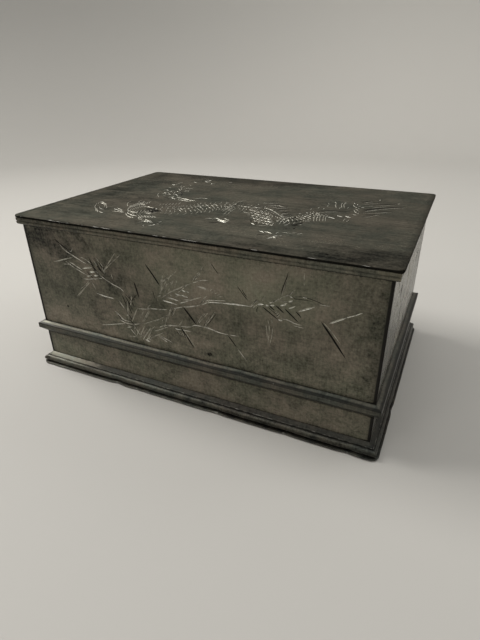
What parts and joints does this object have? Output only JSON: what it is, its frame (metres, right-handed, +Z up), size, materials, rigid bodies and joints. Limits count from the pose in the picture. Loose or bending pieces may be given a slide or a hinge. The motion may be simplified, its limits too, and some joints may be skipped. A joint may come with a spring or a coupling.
{
  "type": "tea caddy",
  "caption": "Rectangular aged pewter tea caddy with an engraved flat hinged lid, moulded base, waist and rim, and divided tea wells under lift-out inner lids.",
  "frame": {"origin": "centre of the foot plate's underside, where the box stands", "axes": "+X along the long side to the right, +Y to the back where the hinges are, +Z up"},
  "size_m": [0.215, 0.146, 0.0971],
  "materials": {
    "case_pewter": "aged pewter, dark brown-grey patina, finely brushed",
    "moulding_pewter": "aged pewter, worn pale along its edges",
    "lid_pewter": "aged pewter, dark patina, engraved",
    "inner_pewter": "grey pewter, dull",
    "hinge_metal": "dark aged metal"
  },
  "bodies": {
    "case": {"back_panel": "case_pewter", "base_moulding_back": "moulding_pewter", "base_moulding_front": "moulding_pewter", "base_moulding_left": "moulding_pewter", "base_moulding_right": "moulding_pewter", "foot_plate": "case_pewter", "front_panel": "case_pewter", "hinge_case_leaf_left": "hinge_metal", "hinge_case_leaf_right": "hinge_metal", "hinge_pin_left": "hinge_metal", "hinge_pin_right": "hinge_metal", "ledge_back_left": "case_pewter", "ledge_back_right": "case_pewter", "ledge_front_left": "case_pewter", "ledge_front_right": "case_pewter", "ledge_left": "case_pewter", "ledge_right": "case_pewter", "left_panel": "case_pewter", "partition": "case_pewter", "partition_cap": "case_pewter", "right_panel": "case_pewter", "rim_moulding_back_left": "moulding_pewter", "rim_moulding_back_middle": "moulding_pewter", "rim_moulding_back_right": "moulding_pewter", "rim_moulding_front": "moulding_pewter", "rim_moulding_left": "moulding_pewter", "rim_moulding_right": "moulding_pewter", "waist_moulding_back": "moulding_pewter", "waist_moulding_front": "moulding_pewter", "waist_moulding_left": "moulding_pewter", "waist_moulding_right": "moulding_pewter"},
    "lid": {"hinge_lid_leaf_left": "hinge_metal", "hinge_lid_leaf_right": "hinge_metal", "lid_lip_front": "lid_pewter", "lid_lip_left": "lid_pewter", "lid_lip_right": "lid_pewter", "lid_plate": "lid_pewter"},
    "inner_lid_left": {"inner_collar_left_back": "inner_pewter", "inner_collar_left_front": "inner_pewter", "inner_collar_left_left": "inner_pewter", "inner_collar_left_right": "inner_pewter", "inner_knob_left": "inner_pewter", "inner_lid_left": "inner_pewter"},
    "inner_lid_right": {"inner_collar_right_back": "inner_pewter", "inner_collar_right_front": "inner_pewter", "inner_collar_right_left": "inner_pewter", "inner_collar_right_right": "inner_pewter", "inner_knob_right": "inner_pewter", "inner_lid_right": "inner_pewter"}
  },
  "joints": [
    {"name": "lid_hinge", "type": "hinge", "parent": "case", "child": "lid", "pos_m": [0, 0.0699, 0.0936], "axis": [-1, 0, 0], "range_deg": [0, 105]},
    {"name": "inner_lid_left_lift", "type": "slide", "parent": "case", "child": "inner_lid_left", "axis": [0, 0, 1], "range_m": [0, 0.042]},
    {"name": "inner_lid_right_lift", "type": "slide", "parent": "case", "child": "inner_lid_right", "axis": [0, 0, 1], "range_m": [0, 0.042]}
  ],
  "couplings": [
    {"joint": "inner_lid_left_lift", "follows": "lid_hinge", "m_per_rad": 0.0229},
    {"joint": "inner_lid_right_lift", "follows": "lid_hinge", "m_per_rad": 0.0229}
  ]
}
